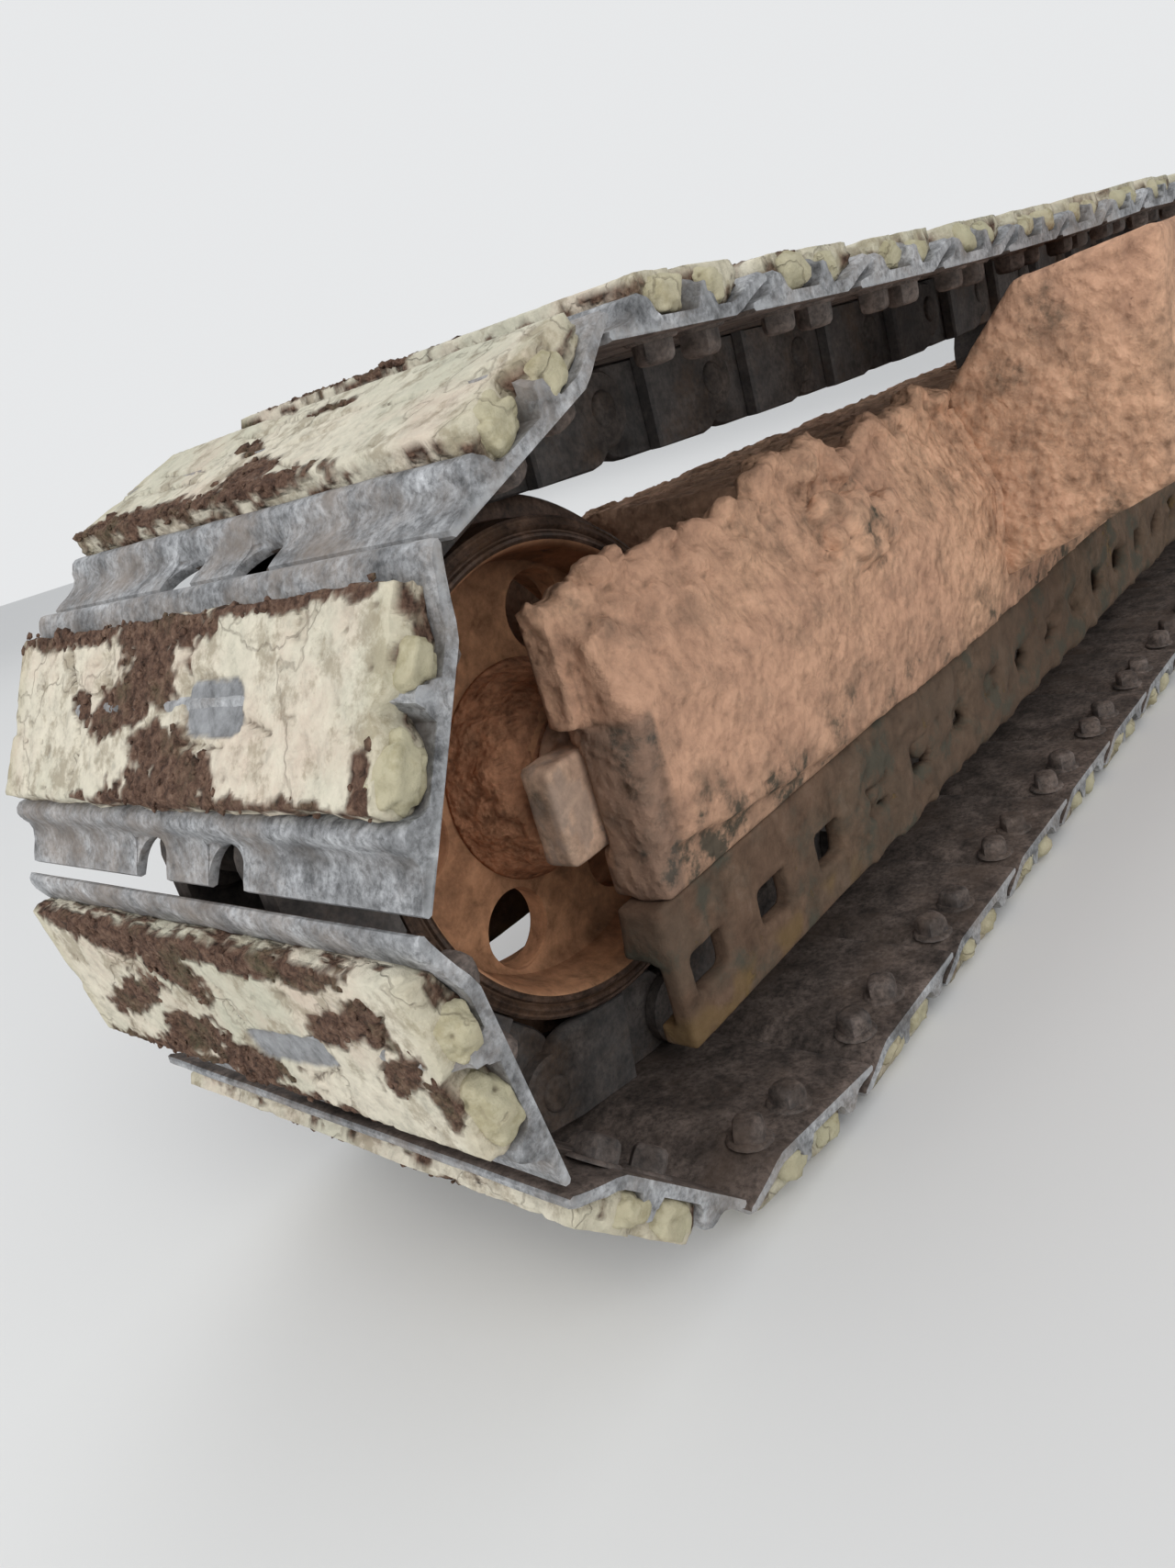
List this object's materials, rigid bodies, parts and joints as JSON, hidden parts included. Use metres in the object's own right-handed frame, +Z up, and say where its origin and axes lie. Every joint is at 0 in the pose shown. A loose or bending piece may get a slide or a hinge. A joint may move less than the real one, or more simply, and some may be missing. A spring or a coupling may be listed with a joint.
{
  "type": "crawler track unit",
  "caption": "Right-hand crawler track unit of a mini excavator: side frame, steel chain with bolt-on shoe pads, sliding idler, rollers and drive.",
  "frame": {"origin": "centre of the box round the unit, on the ground under the pads", "axes": "+X forward to the idler, +Y inboard towards the machine, +Z up"},
  "size_m": [2.5122, 0.49, 0.5396],
  "materials": {
    "loop_steel": "worn bright on the bars, dusty elsewhere",
    "pad_rubber": "bleached, cracked and caked with dry clay",
    "frame_paint": "paint under a coat of orange-brown clay",
    "guard_paint": "scraped, with traces of ochre paint",
    "idler_iron": "rusty dust",
    "block_steel": "dusty",
    "roller_steel": "dusty",
    "drive_paint": "dusty",
    "sprocket_steel": "worn",
    "rod_steel": "bare"
  },
  "bodies": {
    "frame": {"track_loop": "loop_steel", "track_pads": "pad_rubber", "track_frame": "frame_paint", "chain_guard_inboard": "guard_paint", "chain_guard_outboard": "guard_paint", "rollers": "roller_steel", "roller_brackets": "roller_steel", "sprocket": "sprocket_steel", "final_drive": "drive_paint", "drive_plate": "frame_paint", "travel_motor": "drive_paint", "leg_front": "frame_paint", "leg_rear": "frame_paint"},
    "idler_slide": {"idler_shaft": "rod_steel", "idler_blocks": "block_steel", "idler_yoke": "block_steel", "recoil_rod": "rod_steel"},
    "idler": {"idler_wheel": "idler_iron"}
  },
  "joints": [
    {"name": "idler_slide", "type": "slide", "parent": "frame", "child": "idler_slide", "axis": [-1, 0, 0], "range_m": [0, 0.04]},
    {"name": "idler_spin", "type": "hinge", "parent": "idler_slide", "child": "idler", "pos_m": [0.99223, -0.055, 0.26869], "axis": [0, 1, 0], "continuous": true}
  ]
}
